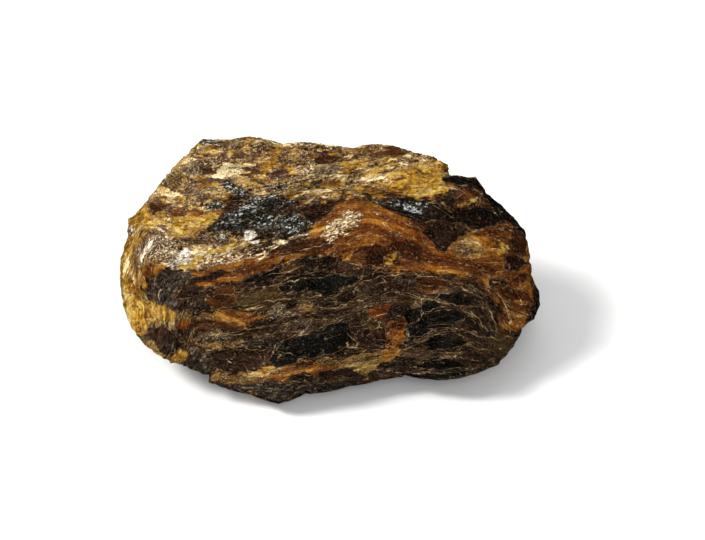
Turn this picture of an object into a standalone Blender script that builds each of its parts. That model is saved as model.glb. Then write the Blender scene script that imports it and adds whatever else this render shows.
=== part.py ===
"""A rough piece of amber, as broken from the ground, modelled in Blender at its real size.

The piece is one solid. It is modelled in this order: a polyhedral block of fracture planes, its
outline, the broad lumps, hollows and the cleft of its face, the ledges where layers of resin broke
off at different depths, and the flat fracture that it rests on.

Two frames are used. The world frame has +Z up and the piece resting on Z = 0. The lean frame turns
with the piece's broadest outline, which leans back from the upright: x is the world's X, u is up
the leaning plane, and c stands out of it, up and towards the front.
"""

import math

import bmesh
import bpy
import numpy as np
from mathutils import Vector, noise

MM = 0.001

# Driving dimensions, in millimetres and degrees.
LEAN_DEG = 40.0
CENTRE_HEIGHT = 17.0
EDGE_SHARPNESS = 22.0
START_SUBDIVISIONS = 7
FACE_BUDGET = 9200
NODE_NAME = "raw_amber"

# The broadest outline, (x, u), anticlockwise from the right end.
OUTLINE = [
    (45.0, -7.5), (44.9, -4.5), (43.3, -1.0), (42.7, 4.0), (41.7, 8.7), (38.7, 12.2), (33.6, 16.6),
    (31.2, 20.0), (26.0, 20.6), (25.2, 22.6), (21.7, 24.6), (18.0, 25.3), (13.5, 26.7), (8.5, 27.1),
    (4.7, 26.2), (-0.3, 26.8), (-10.1, 27.2), (-17.3, 28.8), (-21.5, 28.2), (-27.4, 28.2),
    (-31.0, 24.8), (-37.5, 17.4), (-40.5, 13.6), (-43.4, 11.0), (-43.6, 7.0), (-45.0, 2.6),
    (-45.2, -2.2), (-44.3, -8.3), (-42.6, -12.7), (-39.4, -16.7), (-34.3, -20.0), (-31.0, -20.9),
    (-26.4, -22.8), (-26.0, -24.2), (-22.4, -25.5), (-16.7, -27.0), (-11.0, -28.8), (-8.0, -28.0),
    (-5.2, -26.6), (4.1, -24.9), (10.8, -23.6), (16.0, -22.8), (22.3, -23.8), (27.4, -23.5),
    (31.8, -22.3), (35.7, -20.7), (39.3, -16.5), (41.4, -12.6), (43.8, -10.6),
]

# The fracture planes of the block: outward normal in the world frame, distance from the centre.
FRACTURES = {
    "top_slab": ((0.05, -0.15, 0.99), 13.0),
    "top_back": ((0.04, 0.46, 0.89), 24.0),
    "top_left": ((-0.50, -0.12, 0.86), 26.0),
    "brow": ((0.08, -0.52, 0.85), 12.8),
    "face_upper": ((0.05, -0.76, 0.65), 12.4),
    "face_lower": ((-0.03, -0.90, 0.43), 14.2),
    "face_right": ((0.50, -0.78, 0.36), 24.5),
    "face_left": ((-0.62, -0.74, 0.28), 28.0),
    "heel": ((0.02, -0.72, -0.69), 24.6),
    "left_end": ((-0.97, -0.22, 0.08), 42.5),
    "left_under": ((-0.58, -0.28, -0.76), 30.0),
    "right_top": ((0.56, 0.02, 0.83), 26.2),
    "right_end": ((0.96, -0.22, 0.16), 42.5),
    "right_under": ((0.60, -0.34, -0.72), 32.5),
    "back": ((0.07, 0.98, -0.14), 21.5),
    "back_left": ((-0.72, 0.64, 0.26), 37.5),
    "back_right": ((0.60, 0.78, 0.16), 33.5),
    "back_under": ((0.04, 0.66, -0.75), 21.5),
    "underside": ((0.015, 0.0, -1.0), 18.4),
}

# Broad lumps and hollows of the face: centre (x, u), half sizes along and across, turn, height.
LUMPS = {
    "shoulder_lobe": ((9.0, 6.5), (12.0, 5.0), 8.0, 2.1),
    "left_dome": ((-36.0, 3.6), (6.0, 4.6), -6.0, 2.2),
    "round_knob": ((-7.8, 9.6), (4.2, 2.6), 18.0, 1.5),
    "right_brow": ((31.0, 5.0), (9.0, 4.2), -6.0, 1.3),
    "right_eye": ((23.0, -10.0), (11.0, 5.5), 6.0, 1.2),
    "long_lens": ((-4.5, -15.8), (9.5, 4.4), 16.0, 1.0),
    "keel_lobe": ((-10.5, -22.0), (14.0, 8.0), 6.0, 2.4),
    "left_hollow": ((-34.0, -4.6), (6.0, 4.4), -30.0, -2.0),
    "heel_hollow": ((-32.5, -16.0), (6.5, 3.0), -36.0, -1.2),
    "middle_hollow": ((-13.0, -8.5), (8.5, 3.0), 12.0, -1.0),
    "orange_hollow": ((15.0, -12.0), (3.0, 4.0), 0.0, -1.4),
    "slab_dip": ((-20.0, 14.0), (9.0, 3.0), 8.0, -1.2),
    "gully": ((26.0, 7.5), (6.5, 2.6), -22.0, -1.8),
}

# The dark clefts between the top slab and the lobes below it: half width, and the path's points,
# each (x, u) with the depth there.
CLEFTS = {
    "left_cleft": (1.9, [(-26, 6.8, 0.0), (-18, 9.4, 1.8), (-11, 13.2, 2.8), (-4, 14.4, 2.4), (2, 15, 0.6)]),
    "right_cleft": (2.3, [(6, 15.2, 0.4), (13, 13.6, 2.4), (21, 12.0, 3.4), (29, 10.8, 2.8), (39, 9.2, 0.8)]),
    "eye_notch": (1.0, [(15.0, -3.0, 0.2), (17.2, -7.0, 1.4), (16.2, -12.0, 0.3)]),
}

# Lines along the layers of resin, each a level and its points (x, u). A smooth field through them
# tells every point which layer it lies in.
LAYER_LINES = [
    (26.5, [(-30, 26), (-17, 27), (-4, 26.5), (8, 27), (20, 27)]),
    (19.0, [(-38, 17.5), (-24, 18.2), (-10, 19.2), (4, 21.5), (15, 23.5), (24, 25)]),
    (14.0, [(-40, 12), (-24, 13), (-10, 15.8), (2, 17.6), (14, 18.6), (26, 19.6), (34, 16)]),
    (9.0, [(-42, 6), (-26, 7.4), (-14, 10.4), (0, 14.2), (12, 15.2), (26, 14.6), (38, 11.5)]),
    (3.6, [(-38, 0.4), (-26, 2.2), (-12, 5.6), (0, 9.4), (8, 11.4), (16, 9.4), (25, 5.4), (40, 4.2)]),
    (-1.0, [(-34, -3.0), (-22, -1.4), (-10, 2.2), (2, 5.2), (12, 5.6), (22, 1.8), (32, 0.4), (41, -1)]),
    (-5.5, [(-34, -7.5), (-22, -6.4), (-10, -5.2), (0, -3.4), (9, -1.2), (18, -0.8), (27, -2.4), (35, -7)]),
    (-9.5, [(-32, -11), (-20, -10.6), (-8, -8.6), (4, -6.6), (14, -5.2), (22, -5.6), (32, -7.4), (37, -14)]),
    (-14.0, [(-30, -16), (-19, -14.6), (-9, -12.6), (2, -10.6), (9, -8.6), (16, -8.2), (29, -10)]),
    (-18.5, [(-26, -20), (-14, -20.4), (-4, -19.2), (4, -17.4), (10, -16.6), (19, -15.8), (30, -15)]),
    (-23.5, [(-24, -24), (-12, -24.2), (-2, -22.6), (10, -20), (20, -18.6), (32, -19)]),
]

# Ledges, coarse to fine: layer thickness, length along the layer, and how far layers differ.
LEDGES = [(5.4, 32.0, 1.9), (2.8, 20.0, 0.8)]
LEDGE_RISE = 0.22

# Broken scales of the surface: size along and across the layers, and height.
SCALES = [(12.0, 5.4, 0.95), (7.0, 3.6, 0.5)]

BASE_CUT = 2.2
AMBER = (0.16, 0.060, 0.012, 1.0)

lean = math.radians(LEAN_DEG)
UP_LEAN = np.array((0.0, math.sin(lean), math.cos(lean)))
OUT_LEAN = np.array((0.0, -math.cos(lean), math.sin(lean)))
CENTRE = np.array((0.0, 0.0, CENTRE_HEIGHT))


def clear_scene():
    for obj in list(bpy.data.objects):
        bpy.data.objects.remove(obj)


def to_lean(points):
    """World millimetres to (x, u, c) about the centre."""
    p = points - CENTRE
    return np.stack([p[:, 0], p @ UP_LEAN, p @ OUT_LEAN], axis=1)


def unit(v):
    return v / np.linalg.norm(v, axis=-1, keepdims=True)


def smooth_step(t):
    t = np.clip(t, 0.0, 1.0)
    return t * t * (3.0 - 2.0 * t)


def wobble(points, size, seed):
    """Smooth noise from -1 to 1 at each point, with features of about the given size."""
    offset = Vector((seed * 17.3, seed * 5.9, seed * 11.7))
    return np.array([noise.noise(Vector(p) / size + offset) for p in points])


def block_points(directions):
    """The block's surface along each direction from the centre, with slightly rounded edges."""
    normals = unit(np.array([n for n, _ in FRACTURES.values()]))
    distances = np.array([d for _, d in FRACTURES.values()])
    nearness = np.clip(directions @ normals.T, 0.0, None) / distances
    reach = (nearness**EDGE_SHARPNESS).sum(axis=1) ** (-1.0 / EDGE_SHARPNESS)
    return CENTRE + directions * reach[:, None]


def at_angles(angles, loop_angles, loop_values):
    order = np.argsort(loop_angles)
    return np.interp(angles, loop_angles[order], loop_values[order], period=2.0 * math.pi)


def around(values, window, combine):
    """The largest or the mean of each value and its neighbours round the loop."""
    return combine([np.roll(values, s) for s in range(-window, window + 1)], axis=0)


def fit_outline(points, steps=360, window=2):
    """Scales the piece's outline, angle by angle, to OUTLINE. Heights above the base are kept.

    Only the rim takes the fine part of the change. Further in, it is spread over wide angles.
    """
    xuc = to_lean(points)
    angles = np.arctan2(xuc[:, 1], xuc[:, 0])
    radii = np.hypot(xuc[:, 0], xuc[:, 1])
    slots = ((angles + math.pi) / (2.0 * math.pi) * steps).astype(int) % steps
    widest = np.zeros(steps)
    np.maximum.at(widest, slots, radii)
    reach = around(around(widest, window, np.max), window, np.mean)
    slot_angles = (np.arange(steps) + 0.5) / steps * 2.0 * math.pi - math.pi
    wanted = np.array(OUTLINE)
    wanted_radius = at_angles(
        slot_angles, np.arctan2(wanted[:, 1], wanted[:, 0]), np.hypot(wanted[:, 0], wanted[:, 1])
    )
    growth = wanted_radius / reach - 1.0
    rim = at_angles(angles, slot_angles, growth)
    inner = at_angles(angles, slot_angles, around(growth, 16, np.mean))
    share = np.clip(radii / at_angles(angles, slot_angles, reach), 0.0, 1.0) ** 5
    growth = inner + (rim - inner) * share
    fitted = points.copy()
    fitted[:, 0] += growth * xuc[:, 0]
    fitted[:, 1] += growth * xuc[:, 1] / math.sin(lean)
    return fitted


def layer_field():
    """A function from (x, u) to the layer level, a thin-plate spline through LAYER_LINES."""
    knots = np.array([p for _, line in LAYER_LINES for p in line], float)
    levels = np.array([level for level, line in LAYER_LINES for _ in line], float)

    def bend(r):
        return np.where(r > 0.0, r * r * np.log(np.maximum(r, 1e-9)), 0.0)

    count, softness = len(knots), 6.0
    gaps = np.linalg.norm(knots[:, None] - knots[None], axis=2)
    plane = np.column_stack([np.ones(count), knots])
    system = np.block([[bend(gaps) + softness * np.eye(count), plane], [plane.T, np.zeros((3, 3))]])
    weights = np.linalg.solve(system, np.concatenate([levels, np.zeros(3)]))

    def level(xu):
        gaps = np.linalg.norm(xu[:, None] - knots[None], axis=2)
        return bend(gaps) @ weights[:count] + weights[count] + xu @ weights[count + 1 :]

    return level


def lump_height(xu):
    """Height of the broad lumps and hollows over the leaning plane."""
    height = np.zeros(len(xu))
    for (x, u), (along, across), turn, rise in LUMPS.values():
        a = math.radians(turn)
        dx, du = xu[:, 0] - x, xu[:, 1] - u
        near = ((dx * math.cos(a) + du * math.sin(a)) / along) ** 2
        near += ((du * math.cos(a) - dx * math.sin(a)) / across) ** 2
        height += rise * np.clip(1.0 - near, 0.0, None) ** 0.8
    return height


def path_nearby(xu, path):
    """For each point, the distance to the path and the path's depth at its nearest place."""
    gap, deep = np.full(len(xu), np.inf), np.zeros(len(xu))
    for start, end in zip(path[:-1], path[1:], strict=True):
        a, b = np.array(start[:2]), np.array(end[:2])
        share = np.clip((xu - a) @ (b - a) / ((b - a) @ (b - a)), 0.0, 1.0)
        away = np.linalg.norm(xu - a - share[:, None] * (b - a), axis=1)
        deep = np.where(away < gap, start[2] + share * (end[2] - start[2]), deep)
        gap = np.minimum(gap, away)
    return gap, deep


def cleft_depth(xu):
    depth = np.zeros(len(xu))
    for half_width, path in CLEFTS.values():
        gap, deep = path_nearby(xu, path)
        depth = np.maximum(depth, deep * smooth_step(1.5 - gap / half_width))
    return depth


def ledge_height(places, levels):
    """Steps between the layers: each layer stands out by its own slowly changing amount."""
    height = np.zeros(len(levels))
    for number, (thick, long, rise) in enumerate(LEDGES):
        waved = levels + 0.3 * thick * wobble(places, 2.0 * thick, 30 + number)
        layer = np.floor(waved / thick)
        climb = smooth_step((waved / thick - layer) / LEDGE_RISE)
        amounts = []
        for which in (layer - 1, layer):
            spots = np.column_stack([places[:, 0] / long, places[:, 2] / long, which * 3.7])
            amounts.append([noise.noise(Vector(s) + Vector((0, 0, 9.1 * number))) for s in spots])
        below, here = np.array(amounts)
        height += rise * (below + (here - below) * climb)
    return height


def scale_height(places, levels):
    """Flat-topped broken scales, each tilted its own way, with sharp steps between them."""
    height = np.zeros(len(levels))
    for number, (along, across, rise) in enumerate(SCALES):
        spots = np.column_stack([places[:, 0] / along, levels / across, places[:, 2] / along])
        for i, spot in enumerate(spots):
            _, cells = noise.voronoi(Vector(spot) + Vector((4.7 * number, 0, 0)))
            cell = cells[0]
            tilt = noise.cell_vector(cell * 5.3 + Vector((0.5, 0.5, 0.5)))
            offset = Vector(spot) + Vector((4.7 * number, 0, 0)) - cell
            height[i] += rise * (tilt[0] - 0.5 + (tilt - Vector((0.5, 0.5, 0.5))).dot(offset))
    return height


def front_share(c):
    """1 on the side that faces out of the leaning plane, 0 behind it."""
    return smooth_step(0.5 + c / 8.0)


def resting_share(normals):
    """1 on the underside, which broke off flat, 0 elsewhere."""
    return smooth_step((-normals[:, 2] - 0.45) / 0.4)


def normals_of(mesh_points, faces):
    """Vertex normals of a triangle mesh, weighted by area."""
    a, b, c = (mesh_points[faces[:, i]] for i in range(3))
    flat = np.cross(b - a, c - a)
    summed = np.zeros_like(mesh_points)
    for i in range(3):
        np.add.at(summed, faces[:, i], flat)
    return unit(summed)


def shaped(directions, faces):
    """The piece's points, in world millimetres, for a sphere's directions and triangles."""
    points = fit_outline(block_points(directions))
    places = to_lean(points)
    front = front_share(places[:, 2])
    relief = front * (lump_height(places[:, :2]) - cleft_depth(places[:, :2]))
    points += normals_of(points, faces) * relief[:, None]

    places = to_lean(points)
    levels = layer_field()(places[:, :2])
    normals = normals_of(points, faces)
    broken = (0.8 + 0.3 * wobble(places, 14.0, 3)) * (1.0 - 0.9 * resting_share(normals))
    relief = broken * (ledge_height(places, levels) + scale_height(places, levels))
    points += normals * relief[:, None]
    return fit_outline(points, window=1)


def amber_material():
    material = bpy.data.materials.new("amber")
    material.use_nodes = True
    shader = material.node_tree.nodes["Principled BSDF"]
    shader.inputs["Base Color"].default_value = AMBER
    shader.inputs["Roughness"].default_value = 0.22
    shader.inputs["IOR"].default_value = 1.54
    return material


def shaped_sphere():
    """A ball of triangles, each point moved to where the piece's surface lies."""
    ball = bmesh.new()
    bmesh.ops.create_icosphere(ball, subdivisions=START_SUBDIVISIONS, radius=1.0)
    directions = unit(np.array([v.co for v in ball.verts]))
    faces = np.array([[v.index for v in f.verts] for f in ball.faces])
    for vertex, place in zip(ball.verts, shaped(directions, faces), strict=True):
        vertex.co = Vector(place) * MM
    bmesh.ops.smooth_vert(
        ball, verts=ball.verts, factor=0.3, use_axis_x=True, use_axis_y=True, use_axis_z=True
    )
    return ball


def thinned(mesh, budget):
    """The mesh with its flat stretches in few triangles, and its edges kept."""
    obj = bpy.data.objects.new("thinning", mesh)
    bpy.context.scene.collection.objects.link(obj)
    fewer = obj.modifiers.new("fewer", "DECIMATE")
    fewer.ratio = budget / len(mesh.polygons)
    fewer.use_collapse_triangulate = True
    made = bpy.data.meshes.new_from_object(obj.evaluated_get(bpy.context.evaluated_depsgraph_get()))
    bpy.data.objects.remove(obj)
    return made


def cut_base(bm):
    """Cuts the flat fracture that the piece rests on, and closes it."""
    lowest = min(v.co.z for v in bm.verts)
    cut = bmesh.ops.bisect_plane(
        bm,
        geom=bm.verts[:] + bm.edges[:] + bm.faces[:],
        dist=1e-6,
        plane_co=(0.0, 0.0, lowest + BASE_CUT * MM),
        plane_no=(0.0, 0.0, -1.0),
        clear_outer=True,
    )
    rim = [e for e in cut["geom_cut"] if isinstance(e, bmesh.types.BMEdge)]
    bmesh.ops.holes_fill(bm, edges=rim)
    bmesh.ops.triangulate(bm, faces=[f for f in bm.faces if len(f.verts) > 3])


def centre_on_base(bm):
    """Moves the piece so that the middle of its base box is the origin."""
    points = np.array([v.co for v in bm.verts])
    low, high = points.min(axis=0), points.max(axis=0)
    shift = Vector((-(low[0] + high[0]) / 2, -(low[1] + high[1]) / 2, -low[2]))
    bmesh.ops.translate(bm, verts=bm.verts, vec=shift)


def raw_amber(collection):
    ball = shaped_sphere()
    rough = bpy.data.meshes.new("rough")
    ball.to_mesh(rough)
    ball.free()

    piece = bmesh.new()
    piece.from_mesh(thinned(rough, FACE_BUDGET))
    cut_base(piece)
    centre_on_base(piece)
    mesh = bpy.data.meshes.new(NODE_NAME)
    piece.to_mesh(mesh)
    piece.free()
    mesh.materials.append(amber_material())
    obj = bpy.data.objects.new(NODE_NAME, mesh)
    collection.objects.link(obj)
    return obj


def main():
    clear_scene()
    collection = bpy.data.collections.new("raw_amber_piece")
    bpy.context.scene.collection.children.link(collection)
    raw_amber(collection)


main()
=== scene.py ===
# %% [markdown]
# # A rough piece of amber
# Amber is fossil resin. It ran down a tree in many thin flows, and each flow dried before the next one
# covered it, so a broken piece shows layers, like the pages of a thick book. Where a layer broke clean
# the amber is dark glass. Where it was crushed it is gold, tan or nearly white.
# The piece's solid is loaded first. Everything here is laid over that solid, at its real size.

# %% Load the solid
import math

import bpy
import numpy as np
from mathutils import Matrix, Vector, noise


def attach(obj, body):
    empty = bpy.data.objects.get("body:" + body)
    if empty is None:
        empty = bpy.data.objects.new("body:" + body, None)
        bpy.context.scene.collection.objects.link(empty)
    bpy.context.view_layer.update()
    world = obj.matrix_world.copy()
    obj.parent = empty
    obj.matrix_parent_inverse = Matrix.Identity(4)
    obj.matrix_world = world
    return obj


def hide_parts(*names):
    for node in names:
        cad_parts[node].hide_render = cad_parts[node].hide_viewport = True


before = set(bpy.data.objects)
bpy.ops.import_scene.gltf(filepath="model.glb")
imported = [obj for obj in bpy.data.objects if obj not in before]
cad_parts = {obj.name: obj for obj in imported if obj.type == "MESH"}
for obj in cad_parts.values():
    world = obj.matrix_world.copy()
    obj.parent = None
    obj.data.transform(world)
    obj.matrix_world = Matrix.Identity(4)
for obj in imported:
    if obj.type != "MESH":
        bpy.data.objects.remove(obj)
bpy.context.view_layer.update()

MM = 0.001

# %% [markdown]
# The broad face of the piece leans back, so that it is seen square on from 40 degrees above. That
# leaning plane is the natural place to lay out the pattern: x runs along the piece, u runs up the
# plane, and c stands out of it. The camera looks straight down c through a long lens. With a long lens
# the near and far sides of a small thing keep nearly the same size.

# %% The leaning plane and the camera
LEAN = math.radians(40.0)
UP_THE_FACE = np.array((0.0, math.sin(LEAN), math.cos(LEAN)))
OUT_OF_FACE = np.array((0.0, -math.cos(LEAN), math.sin(LEAN)))
FACE_MIDDLE = np.array((0.1, 1.75, 16.2))
CAMERA_AWAY = 500.0
CAMERA_ASIDE = 4.76
VIEW_WIDTH = 151.2
SENSOR_WIDTH = 36.0

bpy.ops.object.select_all(action="DESELECT")
eye = (FACE_MIDDLE + np.array((CAMERA_ASIDE, 0.0, 0.0)) + OUT_OF_FACE * CAMERA_AWAY) * MM
bpy.ops.object.camera_add(location=eye, rotation=(math.pi / 2 - LEAN, 0.0, 0.0))
camera = bpy.context.object
camera.name = "camera"
camera.data.sensor_width = SENSOR_WIDTH
camera.data.lens = SENSOR_WIDTH * CAMERA_AWAY / VIEW_WIDTH
camera.data.clip_start = 0.01
bpy.context.scene.camera = camera
print("lens, mm:", round(camera.data.lens, 1))

# %% [markdown]
# The piece has relief at every size, down to crumbs of half a millimetre, so it needs an even skin of
# small faces that can be pushed in and out. It could be cut from a subdivided ball, but the solid has
# the right form already. So the piece starts as a copy of the solid with its loose triangles merged,
# and the Remesh modifier gives it a fresh skin of faces all of one size.

# %% The piece's skin
FACE_SIZE = 0.42 * MM
MERGE_GAP = 0.000001

piece = bpy.data.objects.new("amber_lump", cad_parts["raw_amber"].data.copy())
bpy.context.scene.collection.objects.link(piece)
bpy.context.view_layer.objects.active = piece
piece.select_set(True)
bpy.ops.object.mode_set(mode="EDIT")
bpy.ops.mesh.select_all(action="SELECT")
bpy.ops.mesh.remove_doubles(threshold=MERGE_GAP)
bpy.ops.object.mode_set(mode="OBJECT")
skin = piece.modifiers.new("skin", "REMESH")
skin.mode = "VOXEL"
skin.voxel_size = FACE_SIZE
bpy.ops.object.modifier_apply(modifier="skin")
print("faces in the skin:", len(piece.data.polygons))

# %% [markdown]
# The relief is worked out on all points at once with NumPy, in millimetres. These helpers read and
# write the points and the directions they face in, and turn a place into (x, u, c). The camera's
# distance is taken into account, so that a lump lands where it shows.

# %% Points, facing directions and places
def read_points():
    flat = np.empty(len(piece.data.vertices) * 3)
    piece.data.vertices.foreach_get("co", flat)
    return flat.reshape(-1, 3) / MM


def write_points(points):
    piece.data.vertices.foreach_set("co", (points * MM).ravel())
    piece.data.update()


def facing():
    flat = np.empty(len(piece.data.vertices) * 3, dtype=np.float32)
    piece.data.vertex_normals.foreach_get("vector", flat)
    return flat.reshape(-1, 3).astype(float)


def places_on_face(points):
    """Each point as (x, u, c), with x and u where the camera sees them."""
    offset = points - FACE_MIDDLE
    c = offset @ OUT_OF_FACE
    nearness = CAMERA_AWAY / (CAMERA_AWAY - c)
    x = CAMERA_ASIDE + (offset[:, 0] - CAMERA_ASIDE) * nearness
    return np.column_stack([x, offset @ UP_THE_FACE * nearness, c])


def corners_of(line):
    """The points of a line that is written as "x,u x,u x,u"."""
    return np.array([corner.split(",") for corner in line.split()], float)


def smooth_step(t):
    t = np.clip(t, 0.0, 1.0)
    return t * t * (3.0 - 2.0 * t)


points = read_points()
print("piece's size, mm:", np.ptp(points, axis=0).round(1))

# %% [markdown]
# The layers are curved sheets. A few lines are drawn along them, each with its level, and a smooth
# surface stretched through the lines gives every place its level. This is a thin-plate spline: it bends
# as a springy sheet of metal would if it were held at those points.

# %% The layers of resin
LAYER_LINES = [
    (26.5, "-30,26 -17,27 -4,26.5 8,27 20,27"),
    (11.0, "-41.5,8.5 -43.6,3.5 -44.6,-2 -43.6,-7 -41.5,-11.5"),
    (8.0, "-38,8.5 -40.6,5.5 -42,1 -42,-3.5 -40.6,-8 -38.6,-11"),
    (19.0, "-38,17.5 -24,18.2 -10,19.2 4,21.5 15,23.5 24,25"),
    (14.0, "-34,12.6 -24,13 -10,15.8 2,17.6 14,18.6 26,19.6 34,16"),
    (9.0, "-34,7.6 -26,7.4 -14,10.4 0,14.2 12,15.2 26,14.6 38,11.5"),
    (3.6, "-38,0.4 -26,2.2 -12,5.6 0,9.4 8,11.4 16,9.4 25,5.4 40,4.2"),
    (-1.0, "-34,-3 -22,-1.4 -10,2.2 2,5.2 12,5.6 22,1.8 32,0.4 41,-1"),
    (-5.5, "-34,-7.5 -22,-6.4 -10,-5.2 0,-3.4 9,-1.2 18,-0.8 27,-2.4 35,-7"),
    (-9.5, "-32,-11 -20,-10.6 -8,-8.6 4,-6.6 14,-5.2 22,-5.6 32,-7.4 37,-14"),
    (-14.0, "-30,-16 -19,-14.6 -9,-12.6 2,-10.6 9,-8.6 16,-8.2 29,-10"),
    (-18.5, "-26,-20 -14,-20.4 -4,-19.2 4,-17.4 10,-16.6 19,-15.8 30,-15"),
    (-23.5, "-24,-24 -12,-24.2 -2,-22.6 10,-20 20,-18.6 32,-19"),
]
SHEET_SOFTNESS = 3.0


def sheet_bend(gaps):
    return np.where(gaps > 0.0, gaps * gaps * np.log(np.maximum(gaps, 1e-9)), 0.0)


def stretched_sheet(lines):
    """A function from (x, u) places to levels, smooth between the given lines."""
    knots = np.vstack([corners_of(line) for _, line in lines])
    levels = np.array([level for level, line in lines for _ in line.split()], float)
    count = len(knots)
    gaps = np.linalg.norm(knots[:, None] - knots[None], axis=2)
    plane = np.column_stack([np.ones(count), knots])
    left = np.block([[sheet_bend(gaps) + SHEET_SOFTNESS * np.eye(count), plane],
                     [plane.T, np.zeros((3, 3))]])
    weights = np.linalg.solve(left, np.concatenate([levels, np.zeros(3)]))

    def level_at(xu):
        away = np.linalg.norm(xu[:, None] - knots[None], axis=2)
        return sheet_bend(away) @ weights[:count] + weights[count] + xu @ weights[count + 1:]

    return level_at


level_at = stretched_sheet(LAYER_LINES)
places = places_on_face(points)
levels = level_at(places[:, :2])
print("levels run from", levels.min().round(1), "to", levels.max().round(1))
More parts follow.
